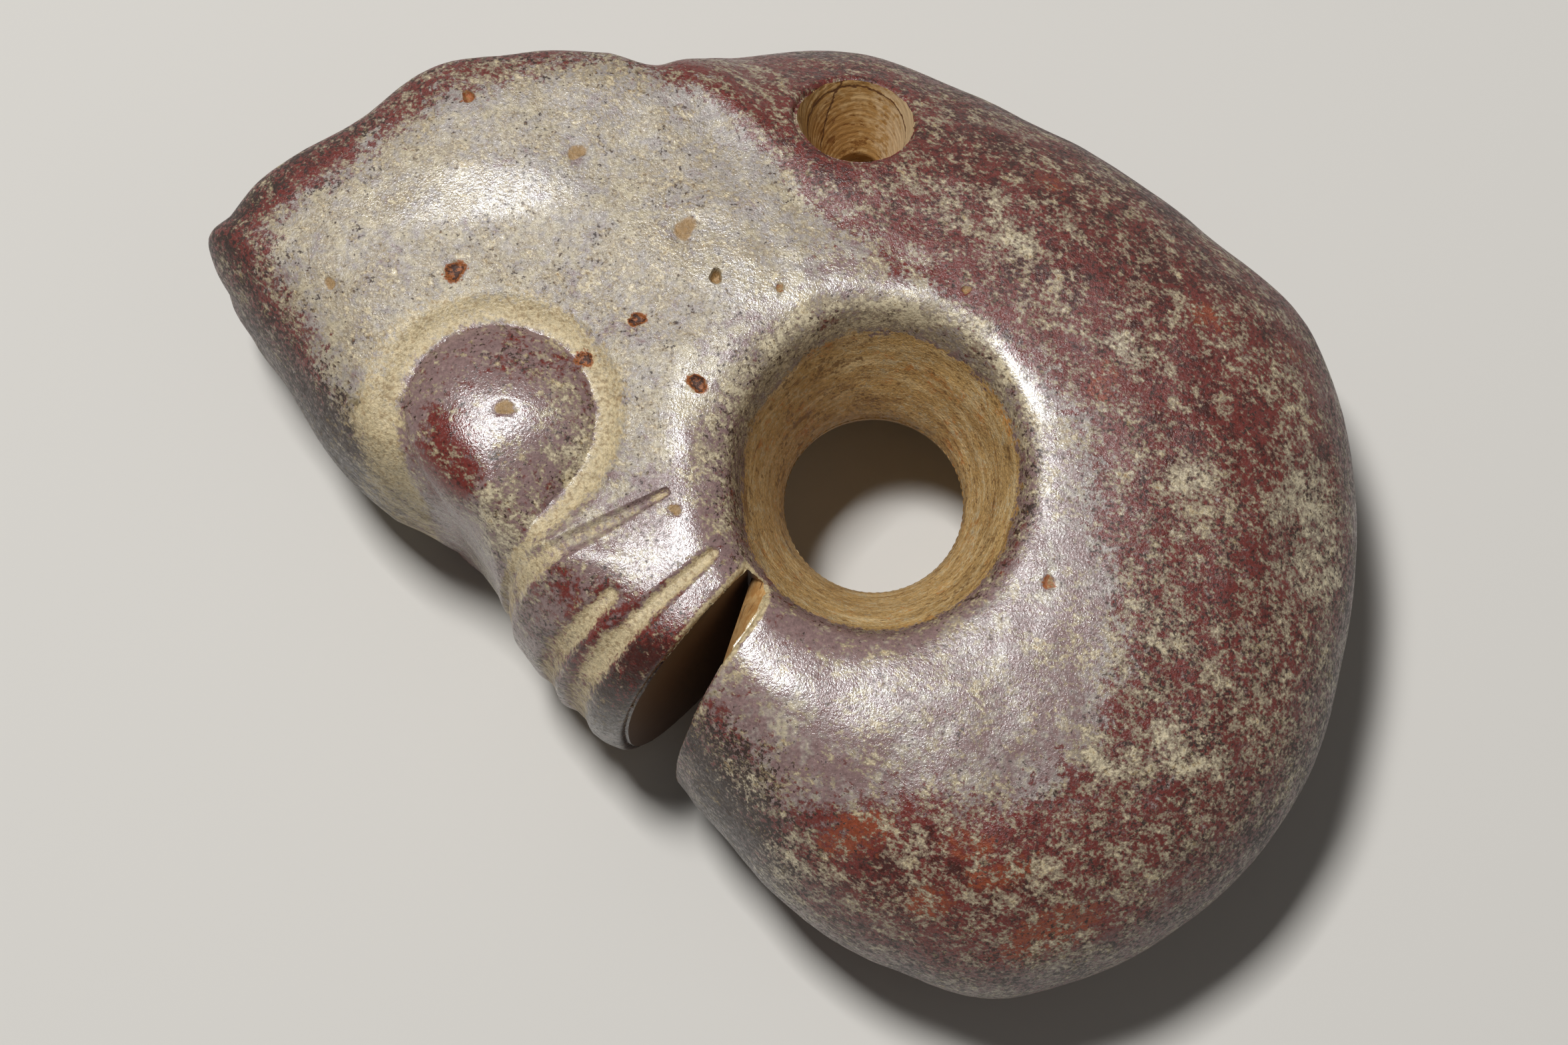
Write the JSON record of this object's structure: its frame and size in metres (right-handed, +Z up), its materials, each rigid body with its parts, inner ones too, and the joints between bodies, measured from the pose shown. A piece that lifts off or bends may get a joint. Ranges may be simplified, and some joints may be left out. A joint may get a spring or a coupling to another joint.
{
  "type": "jade effigy pendant",
  "caption": "Coiled beast pendant carved from one pebble of jade, with tall ears, bulging eyes, a drilled centre hole, a sawn slit and a cord hole through the nape.",
  "frame": {"origin": "middle of the footprint on the surface that the pendant lies on, flank down", "axes": "+X from the face to the back, +Y from the tail to the nape, +Z up through the thickness"},
  "size_m": [0.0758, 0.064, 0.0272],
  "materials": {
    "jade": "polished, mottled red-brown, grey and cream"
  },
  "bodies": {
    "root": {"pendant": "jade"}
  },
  "joints": []
}
